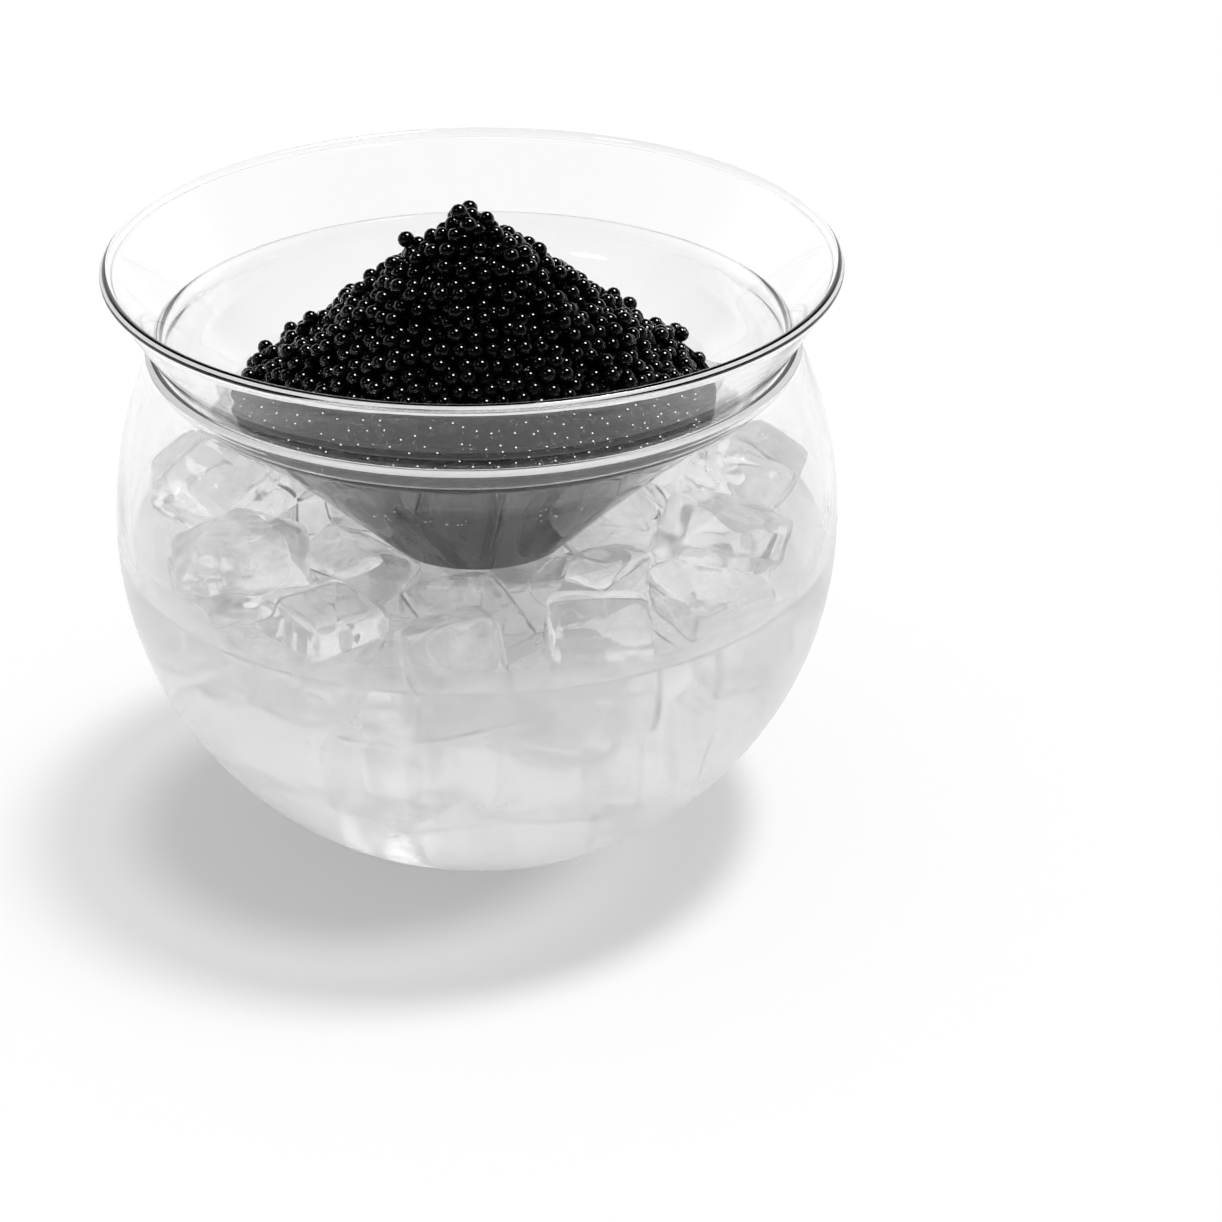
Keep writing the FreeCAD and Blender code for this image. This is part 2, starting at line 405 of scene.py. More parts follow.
def fogged_borosilicate(tint, top, passed):
    """Blown borosilicate that the cold inside fogs below a height, in soft patches: grey-white, and blurred.

    The dew is too fine to show. It is drawn as roughness and as white light that it scatters itself. The
    drops between it are 1 mm across, as where dew has run together, and stand in crowds.
    """
    roughness = 0.17
    white_share = 0.5
    patch = 22 * MM
    unevenness = 20 * MM
    drop = 1.5 * MM
    crowd = 13 * MM
    material, tree, place = new_material("borosilicate_fogged")
    height = add_node(tree, "SeparateXYZ", {}, {0: place}).outputs["Z"]
    patches = add_node(tree, "TexNoise", {}, pattern(place, patch, 2.0))
    uneven = add_node(tree, "Math", TIMES_PLUS, {0: patches, 1: -unevenness, 2: height})
    fog = add_node(tree, "MapRange", SMOOTH, fade(uneven, top - 22 * MM, top - 4 * MM, 1.0, 0.0))
    blur = add_node(tree, "Math", TIMES, {0: fog, 1: roughness})
    cells = add_node(tree, "TexVoronoi", {}, {"Vector": place, "Scale": 1 / drop})
    crowds = add_node(tree, "TexNoise", {}, pattern(place, crowd, 2.0))
    wet = add_node(tree, "MapRange", {}, fade(crowds, 0.57, 0.68, 0.0, 1.0))
    dome = add_node(tree, "MapRange", {}, fade(cells, 0.3, 0.45, 1.0, 0.0))
    cold = add_node(tree, "Math", TIMES, {0: wet, 1: fog})
    drops = add_node(tree, "Math", TIMES, {0: cold, 1: dome})
    swollen = {"Strength": 0.6, "Distance": 0.2 * MM, "Height": drops}
    relief = add_node(tree, "Bump", {}, swollen)
    inputs = {**clear_solid(tint, GLASS_IOR), "Normal": relief, "Roughness": blur}
    glass = add_node(tree, "BsdfPrincipled", {}, inputs)
    dew = white_scatter(tree)
    share = add_node(tree, "Math", TIMES, {0: fog, 1: white_share})
    both = add_node(tree, "MixShader", {}, {0: share, 1: glass, 2: dew})
    finish_clear(tree, both, passed)
    return material


def melting_ice(tint):
    """Ice from a tray, wet from melting, with a polished skin: clear, with faint white clouds of air."""
    cloud = 9 * MM
    material, tree, place = new_material("clear_melting_ice")
    clouds = add_node(tree, "TexNoise", {}, pattern(place, cloud, 3.0))
    share = add_node(tree, "MapRange", {}, fade(clouds, 0.35, 0.7, 0.05, 0.32))
    clear = add_node(tree, "BsdfPrincipled", {}, clear_solid(tint, ICE_IOR))
    both = add_node(tree, "MixShader", {}, {0: share, 1: clear, 2: white_scatter(tree)})
    finish_clear(tree, both, ICE_PASSES)
    return material


def meltwater(tint):
    """Cold still meltwater: clear, with hardly any colour, so that only its surface shows."""
    material, tree, _ = new_material("meltwater")
    water = add_node(tree, "BsdfPrincipled", {}, clear_solid(tint, WATER_IOR))
    finish_clear(tree, water, WATER_PASSES)
    return material


def sturgeon_roe(tint):
    """Sturgeon roe: black to the eye, with a wet skin that gives each grain a small sharp highlight.

    Its IOR starts from water's, and is a little lower to keep the grains as black as they look.
    """
    blot = 4 * MM
    material, tree, place = new_material("sturgeon_roe")
    shades = add_node(tree, "TexNoise", {}, pattern(place, blot, 1.0))
    ramp = add_node(tree, "ValToRGB", {}, {0: shades})
    ramp.color_ramp.elements[0].color = shade(tint, 0.4)
    ramp.color_ramp.elements[1].color = shade(tint, 1.6)
    wet = add_node(tree, "MapRange", {}, fade(shades, 0.3, 0.7, 0.02, 0.1))
    roe = add_node(tree, "BsdfPrincipled", {}, {"Base Color": ramp, "IOR": 1.28, "Roughness": wet})
    add_node(tree, "OutputMaterial", {}, {"Surface": roe})
    return material


def pressed_roe(tint, edge):
    """Roe pressed against the glass: a smooth dark wet film with small white dots of painted highlight,
    placed like air bubbles.

    The film is smeared thin towards its edge, which is a height. The dots, painted highlights of the grains
    behind the glass, are up to 0.6 mm across, stand in crowds, and are held only near the edge. The film
    touches the glass, so that little light is reflected between them, and its IOR is near 1.
    """
    smear = 12 * MM
    speck_size = 1.0 * MM
    crowd = 7 * MM
    speck_depth = 10 * MM
    material, tree, place = new_material("pressed_roe")
    smears = add_node(tree, "TexNoise", {}, pattern(place, smear, 4.0))
    ramp = add_node(tree, "ValToRGB", {}, {0: smears})
    ramp.color_ramp.elements[0].color = shade(tint, 0.5)
    ramp.color_ramp.elements[1].color = shade(tint, 3.0)
    roe = add_node(tree, "BsdfPrincipled", {}, {"Base Color": ramp, "IOR": 1.1, "Roughness": 0.3})
    # Painted highlights: white dots in some Voronoi cells, in crowds near the film's edge; air is their mask
    cells = add_node(tree, "TexVoronoi", {}, {"Vector": place, "Scale": 1 / speck_size})
    chance = add_node(tree, "SeparateXYZ", {}, {0: cells.outputs["Color"]})
    size = add_node(tree, "Math", TIMES, {0: chance, 1: 0.3})
    small = add_node(tree, "Math", BELOW, {0: cells, 1: size})
    crowds = add_node(tree, "TexNoise", {}, pattern(place, crowd, 2.0))
    some = add_node(tree, "Math", ABOVE, {0: crowds, 1: 0.56})
    height = add_node(tree, "SeparateXYZ", {}, {0: place}).outputs["Z"]
    high = add_node(tree, "Math", ABOVE, {0: height, 1: edge - speck_depth})
    held = add_node(tree, "Math", TIMES, {0: some, 1: high})
    air = add_node(tree, "Math", TIMES, {0: small, 1: held})
    # The painted highlight's colour: near-white matt
    bright = add_node(tree, "BsdfDiffuse", {}, {"Color": linear(0xF3F3F3)})
    both = add_node(tree, "MixShader", {}, {0: air, 1: roe, 2: bright})
    uneven = add_node(tree, "Math", TIMES_PLUS, {0: smears, 1: 6 * MM, 2: height})
    thin = add_node(tree, "MapRange", SMOOTH, fade(uneven, edge - 5 * MM, edge + 2.5 * MM, 0.0, 1.0))
    bare = add_node(tree, "BsdfTransparent")
    film = add_node(tree, "MixShader", {}, {0: thin, 1: both, 2: bare})
    add_node(tree, "OutputMaterial", {}, {"Surface": film})
    return material


# Profiles


def bowl_path(sizes):
    """Start and moves of the bowl's outside, from the centre of its foot to its lip."""
    foot_angle = math.degrees(math.asin(sizes.foot_radius / (BELLY - sizes.foot_round)))
    shoulder_angle = 25.1
    lip_lean = 20.0
    moves = [
        (sizes.foot_radius, 0),
        (sizes.foot_round, foot_angle),
        (BELLY, 90 - foot_angle),
        (sizes.shoulder_radius, shoulder_angle),
        (sizes.lip_turn, -shoulder_angle - lip_lean),
    ]
    return (0.0, 0.0, 0.0), moves


def dish_path(sizes):
    """Start and moves of the dish's outside, from the centre of its tip to its rim.

    The flare hangs on the bowl's lip, so the knee ends below the lip. The cone's bow starts at the tip's
    round and touches the knee's round, so both centres and the place where they touch are on one line.
    """
    tip_angle = 45.3
    flare_angle = 58.0
    bowl_start, bowl_moves = bowl_path(sizes)
    lip, _ = path(bowl_start, bowl_moves, sizes.bowl_wall / 2)
    slant = math.radians(flare_angle)
    reach = sizes.lip_bead + sizes.seat_gap + sizes.knee
    knee_x = lip[-1, 0] - reach * math.sin(slant) - sizes.below_seat * math.cos(slant)
    start = (0.0, DISH_FOOT, 0.0)
    tip = [(sizes.tip_flat, 0), (sizes.tip_round, tip_angle)]
    bow, _ = path(start, tip, -sizes.cone_bow)
    touch = math.degrees(math.asin((bow[-1, 0] - knee_x) / (sizes.cone_bow + sizes.knee)))
    moves = [
        *tip,
        (sizes.cone_bow, touch - tip_angle),
        (sizes.knee, flare_angle - touch),
        (sizes.below_seat + sizes.above_seat, 0),
    ]
    return start, moves


def blow(name, start, moves, wall, bead, swell, seed, materials, glints):
    """A blown wall: its section goes round Z, and its inside is thicker and thinner by smooth waves.

    The materials are those of the inside, the outside and the edge's strips of painted highlight. Each glint
    is the first and last direction of the edge's outward normals, in degrees, between which such a strip
    lies.
    """
    swell_size = 38 * MM
    # Slot lit holds the edge's painted highlight strips
    inner, outer, lit = range(3)
    outline, inside = wall_profile(start, moves, wall, bead)
    ring = outline[1:-1]
    angles = np.linspace(0, 2 * math.pi, TURNS, endpoint=False)
    x = ring[:, :1] * np.cos(angles)
    y = ring[:, :1] * np.sin(angles)
    places = np.stack([x, y, np.repeat(ring[:, 1:], TURNS, 1)], 2)
    within = np.arange(1, len(outline) - 1)[:, None] >= inside
    points, faces = lathe(outline, TURNS, within * swell * waves(places, seed, swell_size))
    made = new_mesh(name, points, faces, materials[inner])
    made.data.materials.append(materials[outer])
    made.data.materials.append(materials[lit])
    rows = np.arange(len(ring) - 1)
    along = np.diff(ring, axis=0)
    facing = np.degrees(np.arctan2(along[:, 1], along[:, 0])) - 90
    bead_start = inside - BEAD_POINTS - 1
    on_edge = (rows >= bead_start) & (rows < inside - 1)
    # The strips of painted highlight: faces of the edge whose normals lie between a glint's directions
    strip = np.any([(facing > first) & (facing < last) for first, last in glints], 0)
    bands = np.where(on_edge & strip, lit, np.where(rows < bead_start - 1, outer, inner))
    slots = np.concatenate([np.repeat(bands, TURNS), np.full(TURNS, outer), np.full(TURNS, inner)])
    made.data.polygons.foreach_set("material_index", slots.astype(np.int32))
    return made


# Glass


class SERVER_OT_bowl(bpy.types.Operator):
    """Blow the round bowl"""

    bl_idname = "server.bowl"
    bl_label = "Ice bowl"

    def execute(self, context):
        sizes = context.scene.server_glass
        fog_top = WATER_LEVEL + 10 * MM
        clear = blown_borosilicate(sizes.tint, BOWL_PASSES)
        fogged = fogged_borosilicate(sizes.tint, fog_top, BOWL_PASSES)
        materials = (clear, fogged, painted_edge_glint(sizes.tint, BOWL_EDGE_PASSES))
        start, moves = bowl_path(sizes)
        wall, bead, seed = sizes.bowl_wall, sizes.lip_bead, 1
        made = blow("bowl_glass", start, moves, wall, bead, sizes.swell, seed, materials, BOWL_GLINTS)
        add_piece(made, "glass", "ice_bowl")
        return {"FINISHED"}


class SERVER_OT_dish(bpy.types.Operator):
    """Blow the conical dish"""

    bl_idname = "server.dish"
    bl_label = "Caviar dish"

    def execute(self, context):
        sizes = context.scene.server_glass
        clear = blown_borosilicate(sizes.tint, DISH_PASSES)
        materials = (clear, clear, painted_edge_glint(sizes.tint, DISH_PASSES))
        start, moves = dish_path(sizes)
        wall, bead, seed = sizes.dish_wall, sizes.rim_bead, 5
        made = blow("dish_glass", start, moves, wall, bead, sizes.swell, seed, materials, DISH_GLINTS)
        add_piece(made, "glass", "caviar_dish")
        return {"FINISHED"}


# Ice


def cube_skin(count):
    """Points of a lattice on the skin of a cube from -1 to 1, and the skin's quads.

    The points are spread by a tangent, so that they lie evenly as seen from the centre.
    """
    steps = np.arange(count + 1)
    grid = np.stack(np.meshgrid(steps, steps, steps, indexing="ij"), -1).reshape(-1, 3)
    on_skin = np.any((grid == 0) | (grid == count), 1)
    number = np.full(len(grid), -1)
    number[on_skin] = np.arange(on_skin.sum())
    number = number.reshape(count + 1, count + 1, count + 1)
    sheets = []
    for axis in range(3):
        for side in (0, count):
            sheet = np.take(number, side, axis)
            corners = [sheet[:-1, :-1], sheet[1:, :-1], sheet[1:, 1:], sheet[:-1, 1:]]
            outward = (side > 0) != (axis == 1)
            sheets.append(np.stack(corners if outward else corners[::-1], -1).reshape(-1, 4))
    skin = np.tan((2 * grid[on_skin] / count - 1) * math.pi / 4)
    return skin, np.concatenate(sheets)


def solid_triangles(name):
    """Corners, outward unit normals and areas of the triangles of one of the frame's solids."""
    least = 1e-12
    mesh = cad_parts[name].data
    mesh.calc_loop_triangles()
    points = np.zeros(len(mesh.vertices) * 3)
    mesh.vertices.foreach_get("co", points)
    index = np.zeros(len(mesh.loop_triangles) * 3, np.int32)
    mesh.loop_triangles.foreach_get("vertices", index)
    corners = points.reshape(-1, 3)[index.reshape(-1, 3)]
    across = np.cross(corners[:, 1] - corners[:, 0], corners[:, 2] - corners[:, 0])
    doubled = np.linalg.norm(across, axis=1)
    kept = doubled > least
    return corners[kept], across[kept] / doubled[kept, None], doubled[kept] / 2


def flat_faces(corners, normals, areas, centre):
    """Normals, distances from the centre and areas of the larger flat faces of a solid.

    A face is all triangles whose normals come out the same on a coarse grid, and its values are their
    means by area.
    """
    grid = 12
    least = 12 * MM * MM
    _, group = np.unique(np.round(normals * grid).astype(int), axis=0, return_inverse=True)
    group = group.ravel()
    total = np.bincount(group, areas)
    sums = [np.bincount(group, areas * normals[:, axis]) for axis in range(3)]
    normal = np.stack(sums, 1) / total[:, None]
    normal /= np.linalg.norm(normal, axis=1, keepdims=True)
    height = np.einsum("ij,ij->i", corners.mean(1) - centre, normals)
    distance = np.bincount(group, areas * height) / total
    large = total > least
    return normal[large], distance[large], total[large]


def melt(skin, centre, axes, normal, distance, ripple, number, bound=None):
    """An ice cube as melting leaves it: points along the skin's directions from its centre.

    The distance along each direction is the power mean of the distances to the cube's flat faces, which
    rounds its edges. It is never more than to a bound's planes, and is less by hollows up to the ripple
    deep.
    """
    power = 11.0
    hollow = 11 * MM
    least = 1e-6
    rays = skin @ axes
    rays /= np.linalg.norm(rays, axis=1, keepdims=True)
    nearness = np.clip(rays @ normal.T, 0, None) / distance
    reach = np.sum(nearness**power, 1) ** (-1 / power)
    if bound:
        normals, heights = bound
        facing = rays @ normals.T
        ends = np.where(facing > least, heights / np.maximum(facing, least), np.inf)
        reach = np.minimum(reach, ends.min(1))
    wave = waves(centre + rays * reach[:, None], number, hollow)
    return centre + rays * (reach - ripple * (0.5 + 0.5 * wave))[:, None]


def melted_cube(name, skin, ripple, inset):
    """One of the frame's cubes as melting leaves it, inset from the frame's solid.

    Its centre is that of the wedges between the origin and its triangles. Its axes follow its largest
    face and the largest one square to that. The solid's own planes are the bound, so the cube stays
    inside it.
    """
    nearly_square = 0.1
    corners, normals, areas = solid_triangles(name)
    wedges = areas * np.einsum("ij,ij->i", corners[:, 0], normals)
    centre = 0.75 * wedges @ corners.mean(1) / wedges.sum()
    normal, distance, area = flat_faces(corners, normals, areas, centre)
    first = normal[np.argmax(area)]
    square = np.abs(normal @ first) < nearly_square
    second = normal[square][np.argmax(area[square])]
    second = second - first * (second @ first)
    second /= np.linalg.norm(second)
    axes = np.stack([first, second, np.cross(first, second)])
    heights = np.einsum("ij,ij->i", corners[:, 0] - centre, normals)
    ahead = heights > 1 * MM
    bound = normals[ahead], heights[ahead] - inset
    return melt(skin, centre, axes, normal, distance - inset, ripple, int(name[-2:]), bound)


def frame_centre(name):
    """Middle of the box round one of the frame's solids."""
    low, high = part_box(name)
    return [(low[axis] + high[axis]) / 2 for axis in range(3)]


def top_cubes(sizes, glass, skin):
    """The cubes that lie on the others at the sides and the back, between the bowl and the dish.

    Their places are drawn round a ring that rises to the back. Each keeps its six faces, and is flattened
    towards every cube beside and below it, the bowl's wall, the dish's cone and the water by one plane each.
    """
    first, last, shake = -28, 208, 5
    inwards, outwards = -3, 2
    lower, higher = -2, 3
    half = 0.52
    wall_gap = 0.3 * MM
    dish_gap = 0.4 * MM
    least = 4 * MM
    rng = np.random.default_rng(sizes.top_seed)
    count = sizes.top_count
    angle = np.radians(np.linspace(first, last, count) + rng.uniform(-shake, shake, count))
    radius = sizes.top_ring + rng.uniform(inwards, outwards, count) * MM
    rise = sizes.top_rise * (0.55 + 0.45 * np.sin(angle))
    height = WATER_LEVEL + rise + rng.uniform(lower, higher, count) * MM
    centres = np.stack([radius * np.cos(angle), radius * np.sin(angle), height], 1)
    below = np.array([frame_centre(name) for name in CUBE_NAMES])
    start, moves = dish_path(glass)
    cone, _ = path(start, moves, 0)
    made = []
    for number, centre in enumerate(centres):
        axes = np.linalg.qr(rng.normal(size=(3, 3)))[0]
        axes *= np.sign(np.linalg.det(axes))
        others = np.delete(centres, number, 0) - centre
        inward = np.array([0, 0, BELLY]) - centre
        outward = np.hypot(*centre[:2])
        nearest = cone[np.argmin(np.hypot(cone[:, 0] - outward, cone[:, 1] - centre[2]))]
        across = (nearest[0] - outward) / outward
        dish = np.array([across * centre[0], across * centre[1], nearest[1] - centre[2]])
        towards = np.concatenate([others, below - centre, [-inward, dish, [0, 0, -1]]])
        away = np.linalg.norm(towards, axis=1)
        beside = away[: count - 1] / 2
        under = away[count - 1 : -3] - half * sizes.cube
        wall = BELLY - glass.bowl_wall - wall_gap - away[-3]
        ends = [wall, away[-2] - dish_gap, centre[2] - WATER_LEVEL]
        limit = np.maximum(np.concatenate([beside, under, ends]), least)
        normal = np.concatenate([axes, -axes, towards / away[:, None]])
        reach = np.concatenate([np.full(6, sizes.cube / 2), limit])
        near = reach < sizes.cube
        made.append(melt(skin, centre, axes, normal[near], reach[near], sizes.ripple, number))
    return made


class SERVER_OT_ice(bpy.types.Operator):
    """Freeze the ice cubes"""

    bl_idname = "server.ice"
    bl_label = "Ice cubes"

    def execute(self, context):
        sizes = context.scene.server_ice
        material = melting_ice(sizes.tint)
        skin, quads = cube_skin(CUBE_STEPS)
        for name in CUBE_NAMES:
            points = melted_cube(name, skin, sizes.ripple, 0)
            made = new_mesh(name + "_melted", points, [quads], material)
            add_piece(made, "ice", name)
        for number, points in enumerate(top_cubes(sizes, context.scene.server_glass, skin), 1):
            made = new_mesh("ice_top_%02d" % number, points, [quads], material)
            add_piece(made, "ice")
        return {"FINISHED"}


# Water


def water_outline(sizes, glass):
    """Outline of the water before the ice is taken out: a little way into the bowl's glass, and its surface.

    Near the glass the surface climbs by the meniscus, which dies away with distance from the wall.
    """
    fine, near = 16, 6
    coarse, far = 30, 7
    dying = 1.4 * MM
    start, moves = bowl_path(glass)
    side, _ = path(start, moves[:-1], glass.bowl_wall - sizes.film)
    side = side[side[:, 1] < WATER_LEVEL + sizes.meniscus]
    edge = side[-1, 0]
    away = np.concatenate([np.linspace(0, near, fine), np.linspace(far, edge / MM, coarse)]) * MM
    surface = np.stack([edge - away, WATER_LEVEL + sizes.meniscus * np.exp(-away / dying)], 1)
    side[-1, 1] = surface[0, 1]
    return np.concatenate([side, surface[1:]])


def water_hollows(sizes, glass):
    """Points and faces of what stands in the water: the frame's ice cubes and the tip of the dish.

    Each is inset by the film, so that the water reaches a little way into it and no air lies between.
    """
    above = 12 * MM
    skin, quads = cube_skin(CUBE_STEPS)
    cubes = [melted_cube(name, skin, sizes.ripple, sizes.film) for name in CUBE_NAMES]
    start, moves = dish_path(glass)
    side, _ = path(start, moves[:3], sizes.film)
    side = side[side[:, 1] < WATER_LEVEL + above]
    dish_points, dish_faces = lathe(np.concatenate([side, [[0, side[-1, 1]]]]), TURNS // 2)
    offset = len(skin) * len(cubes)
    quads = np.concatenate([quads + len(skin) * step for step in range(len(cubes))])
    faces = [np.concatenate([quads, dish_faces[0] + offset]), dish_faces[1] + offset]
    return np.concatenate([*cubes, dish_points]), faces


class SERVER_OT_water(bpy.types.Operator):
    """Pour the meltwater"""

    bl_idname = "server.water"
    bl_label = "Meltwater"

    def execute(self, context):
        sizes = context.scene.server_ice
        glass = context.scene.server_glass
        crease = math.radians(35)
        material = meltwater(sizes.water_tint)
        made = new_mesh("meltwater_body", *lathe(water_outline(sizes, glass)), material)
        hollow = new_mesh("hollows", *water_hollows(sizes, glass), material)
        cut = made.modifiers.new("hollows", "BOOLEAN")
        cut.operation = "DIFFERENCE"
        cut.solver = "MANIFOLD"
        cut.object = hollow
        evaluated = made.evaluated_get(context.evaluated_depsgraph_get())
        mesh = bpy.data.meshes.new_from_object(evaluated)
        made.modifiers.clear()
        made.data = mesh
        mesh.polygons.foreach_set("use_smooth", np.ones(len(mesh.polygons), bool))
        mesh.set_sharp_from_angle(angle=crease)
        bpy.data.objects.remove(hollow)
        add_piece(made, "water", "meltwater")
        return {"FINISHED"}


# Caviar


def round_grain():
    """An icosahedron whose faces are split in four, pushed out to a unit sphere."""
    golden = (1 + math.sqrt(5)) / 2
    near = np.array([[-1, golden, 0], [1, golden, 0], [-1, -golden, 0], [1, -golden, 0]], float)
    points = np.concatenate([near, np.roll(near, 1, 1), np.roll(near, 2, 1)])
    apart = np.linalg.norm(points[:, None] - points[None], axis=2)
    joined = (apart > 1) & (apart < 2.1)
    first, second, third = np.meshgrid(*[np.arange(12)] * 3, indexing="ij")
    ordered = (first < second) & (second < third)
    whole = ordered & joined[first, second] & joined[second, third] & joined[third, first]
    faces = np.argwhere(whole)
    across = np.cross(points[faces[:, 1]] - points[faces[:, 0]], points[faces[:, 2]] - points[faces[:, 0]])
    inward = np.einsum("ij,ij->i", across, points[faces[:, 0]]) < 0
    faces[inward] = faces[inward][:, ::-1]
    corners = points[faces]
    halves = (corners + np.roll(corners, -1, 1)) / 2
    ends = [np.stack([corners[:, k], halves[:, k], halves[:, k - 1]], 1) for k in range(3)]
    split = np.concatenate([*ends, halves]).reshape(-1, 3)
    split /= np.linalg.norm(split, axis=1, keepdims=True)
    unique, index = np.unique(np.round(split, 6), axis=0, return_inverse=True)
    return unique, index.reshape(-1, 3)


def heap_side(radius, sizes):
    """Height of the grains' centres without lumps: a hyperbola, with even sides and a blunt top."""
    slope = math.radians(41.0)
    blunt = 1.95 * MM
    side = radius * math.tan(slope)
    return HEAP_TOP - sizes.grain / 2 + blunt - np.hypot(blunt, side)


def heap_height(radius, sizes, angle):
    """Height of the grains' centres: the heap's side, with even lumps and looser ones on it."""
    loose_size, seed = 14 * MM, 4
    x, y = radius * np.cos(angle), radius * np.sin(angle)
    turn = 2 * math.pi / sizes.lump_spacing
    lumps = sizes.lump / 2 * np.sin(turn * x) * np.cos(turn * y)
    loose = waves(np.stack([x, y, x * 0], -1), seed, loose_size)
    return heap_side(radius, sizes) + lumps + sizes.loose * loose


def settle(points, grain, bounds):
    """Moves grains apart until they hardly overlap.

    Each pair closer than a grain is pushed apart along its line by half of the overlap, and each grain
    is then brought back between the bounds.
    """
    rounds = 26
    longest = 1.2
    for _ in range(rounds):
        squared = np.sum(points**2, 1)
        apart2 = squared[:, None] + squared[None] - 2 * points @ points.T
        first, second = np.nonzero(np.triu(apart2 < grain**2, 1))
        line = points[first] - points[second]
        apart = np.linalg.norm(line, axis=1) + 1e-6
        push = line * (0.5 * (grain - apart) / apart)[:, None]
        move = np.zeros_like(points)
        np.add.at(move, first, push)
        np.add.at(move, second, -push)
        points = bounds(points + np.clip(move, -longest, longest))
    return points


def grain_centres(sizes, glass, rng):
    """Centres of the grains, in millimetres: a settled layer over the heap, and a few strays on the glass.

    The layer's grains are drawn evenly over a disc and through the layer's depth. Each may rise to the
    heap's height less a chance depth, so that the surface isn't even, and none sinks into the glass.
    """
    most_sunk, rarity = 2.4, 1.5
    disc = 52.0
    proud = 0.9
    clearance, stray_clearance = 1.35, 1.5
    strays, ring, ring_width = 10, 47.4, 2.4
    sunk = most_sunk * rng.random(sizes.count) ** rarity
    grain = sizes.grain / MM
    layer = sizes.depth / MM
    start, moves = dish_path(glass)
    wall, _ = path(start, moves, glass.dish_wall)
    wall_x, wall_z = wall[:, 0] / MM, wall[:, 1] / MM

    def bounds(points):
        radius = np.hypot(points[:, 0], points[:, 1])
        angle = np.arctan2(points[:, 1], points[:, 0])
        top = heap_height(radius * MM, sizes, angle) / MM - sunk
        points[:, 2] = np.clip(points[:, 2], top - layer, top)
        floor = np.interp(radius, wall_x, wall_z) + 0.5 * grain * clearance
        points[:, 2] = np.maximum(points[:, 2], floor)
        return points

    radius = disc * np.sqrt(rng.random(sizes.count))
    angle = 2 * math.pi * rng.random(sizes.count)
    depth = rng.random(sizes.count) * sizes.depth / MM
    top = heap_height(radius * MM, sizes, angle) / MM
    points = np.stack([radius * np.cos(angle), radius * np.sin(angle), top - depth], 1)
    points = settle(bounds(points), grain, bounds)
    radius = np.hypot(points[:, 0], points[:, 1])
    top = heap_height(radius * MM, sizes, np.arctan2(points[:, 1], points[:, 0])) / MM
    points = points[points[:, 2] < top + proud]
    stray = rng.random((strays, 2))
    away = ring + ring_width * stray[:, 0]
    turn = 2 * math.pi * stray[:, 1]
    low = np.interp(away, wall_x, wall_z) + 0.5 * grain * stray_clearance
    return np.concatenate([points, np.stack([away * np.cos(turn), away * np.sin(turn), low], 1)])


def grain_skins(centres, sizes, rng):
    """Points and triangles of the grains: balls of nearly one size, a little squashed and turned about Z."""
    ball, faces = round_grain()
    count = len(centres)
    scale = sizes.grain / 2 / MM * rng.normal(1.0, 0.035, (count, 1, 1))
    squash = 1 + rng.uniform(-0.06, 0.02, (count, 1, 3))
    turn = rng.uniform(0, 2 * math.pi, count)
    spin = np.zeros((count, 3, 3))
    spin[:, 0, 0] = spin[:, 1, 1] = np.cos(turn)
    spin[:, 0, 1] = np.sin(turn)
    spin[:, 1, 0] = -spin[:, 0, 1]
    spin[:, 2, 2] = 1
    shapes = np.einsum("nij,nkj->nki", spin, ball[None] * squash * scale)
    index = (np.arange(count) * len(ball))[:, None, None] + faces[None]
    return (centres[:, None] + shapes).reshape(-1, 3) * MM, [index.reshape(-1, 3)]


def core_outline(sizes, glass):
    """Outline of the caviar under the loose grains, and the number of its points along the glass.

    It follows the dish's inside, a film's depth into the glass. Its top is the heap's side less the
    depth of the grains, and never below the glass.
    """
    film = 0.15 * MM
    edge = 50.5 * MM
    below_top = 4.6 * MM
    above_glass = 0.6 * MM
    start, moves = dish_path(glass)
    wall, _ = path(start, moves, glass.dish_wall - film)
    wall = wall[wall[:, 0] < edge]
    steps = np.linspace(wall[-1, 0], 0, 60)
    low = np.maximum(heap_side(steps, sizes) - below_top, np.interp(steps, *wall.T) + above_glass)
    return np.concatenate([wall, np.stack([steps, low], 1)[1:]]), len(wall)


class SERVER_OT_caviar(bpy.types.Operator):
    """Heap up the caviar"""

    bl_idname = "server.caviar"
    bl_label = "Caviar"

    def execute(self, context):
        sizes = context.scene.server_roe
        glass = context.scene.server_glass
        rng = np.random.default_rng(sizes.seed)
        centres = grain_centres(sizes, glass, rng)
        material = sturgeon_roe(sizes.tint)
        made = new_mesh("caviar_grains", *grain_skins(centres, sizes, rng), material)
        add_piece(made, "roe")

        pressed, loose = range(2)
        core, on_glass = core_outline(sizes, glass)
        points, faces = lathe(core)
        body = new_mesh("caviar_body", points, faces, pressed_roe(sizes.tint, core[on_glass - 1, 1]))
        body.data.materials.append(material)
        top_rows = np.where(np.arange(len(core) - 3) >= on_glass - 2, loose, pressed)
        slots = np.concatenate([np.repeat(top_rows, TURNS), np.full(TURNS, pressed), np.full(TURNS, loose)])
        body.data.polygons.foreach_set("material_index", slots.astype(np.int32))
        add_piece(body, "roe", "caviar")
        return {"FINISHED"}


# Stage

# The camera was fitted to the outlines of the glass: its axes, its place in metres, its lens in millimetres
CAMERA_RIGHT = (0.99889422, -0.0469531, 0.00239629)
CAMERA_UP = (0.02033744, 0.47749471, 0.87839922)
CAMERA_BACK = (-0.04238779, -0.87737917, 0.47792161)
CAMERA_PLACE = (0.0, -0.58073, 0.36288)
CAMERA_LENS = 90.46

# Softboxes that gloss shows: azimuth, elevation and half width in degrees, and strength
SOFTBOXES = ((20, 72, 11, 60.0), (-150, 50, 5, 20.0))


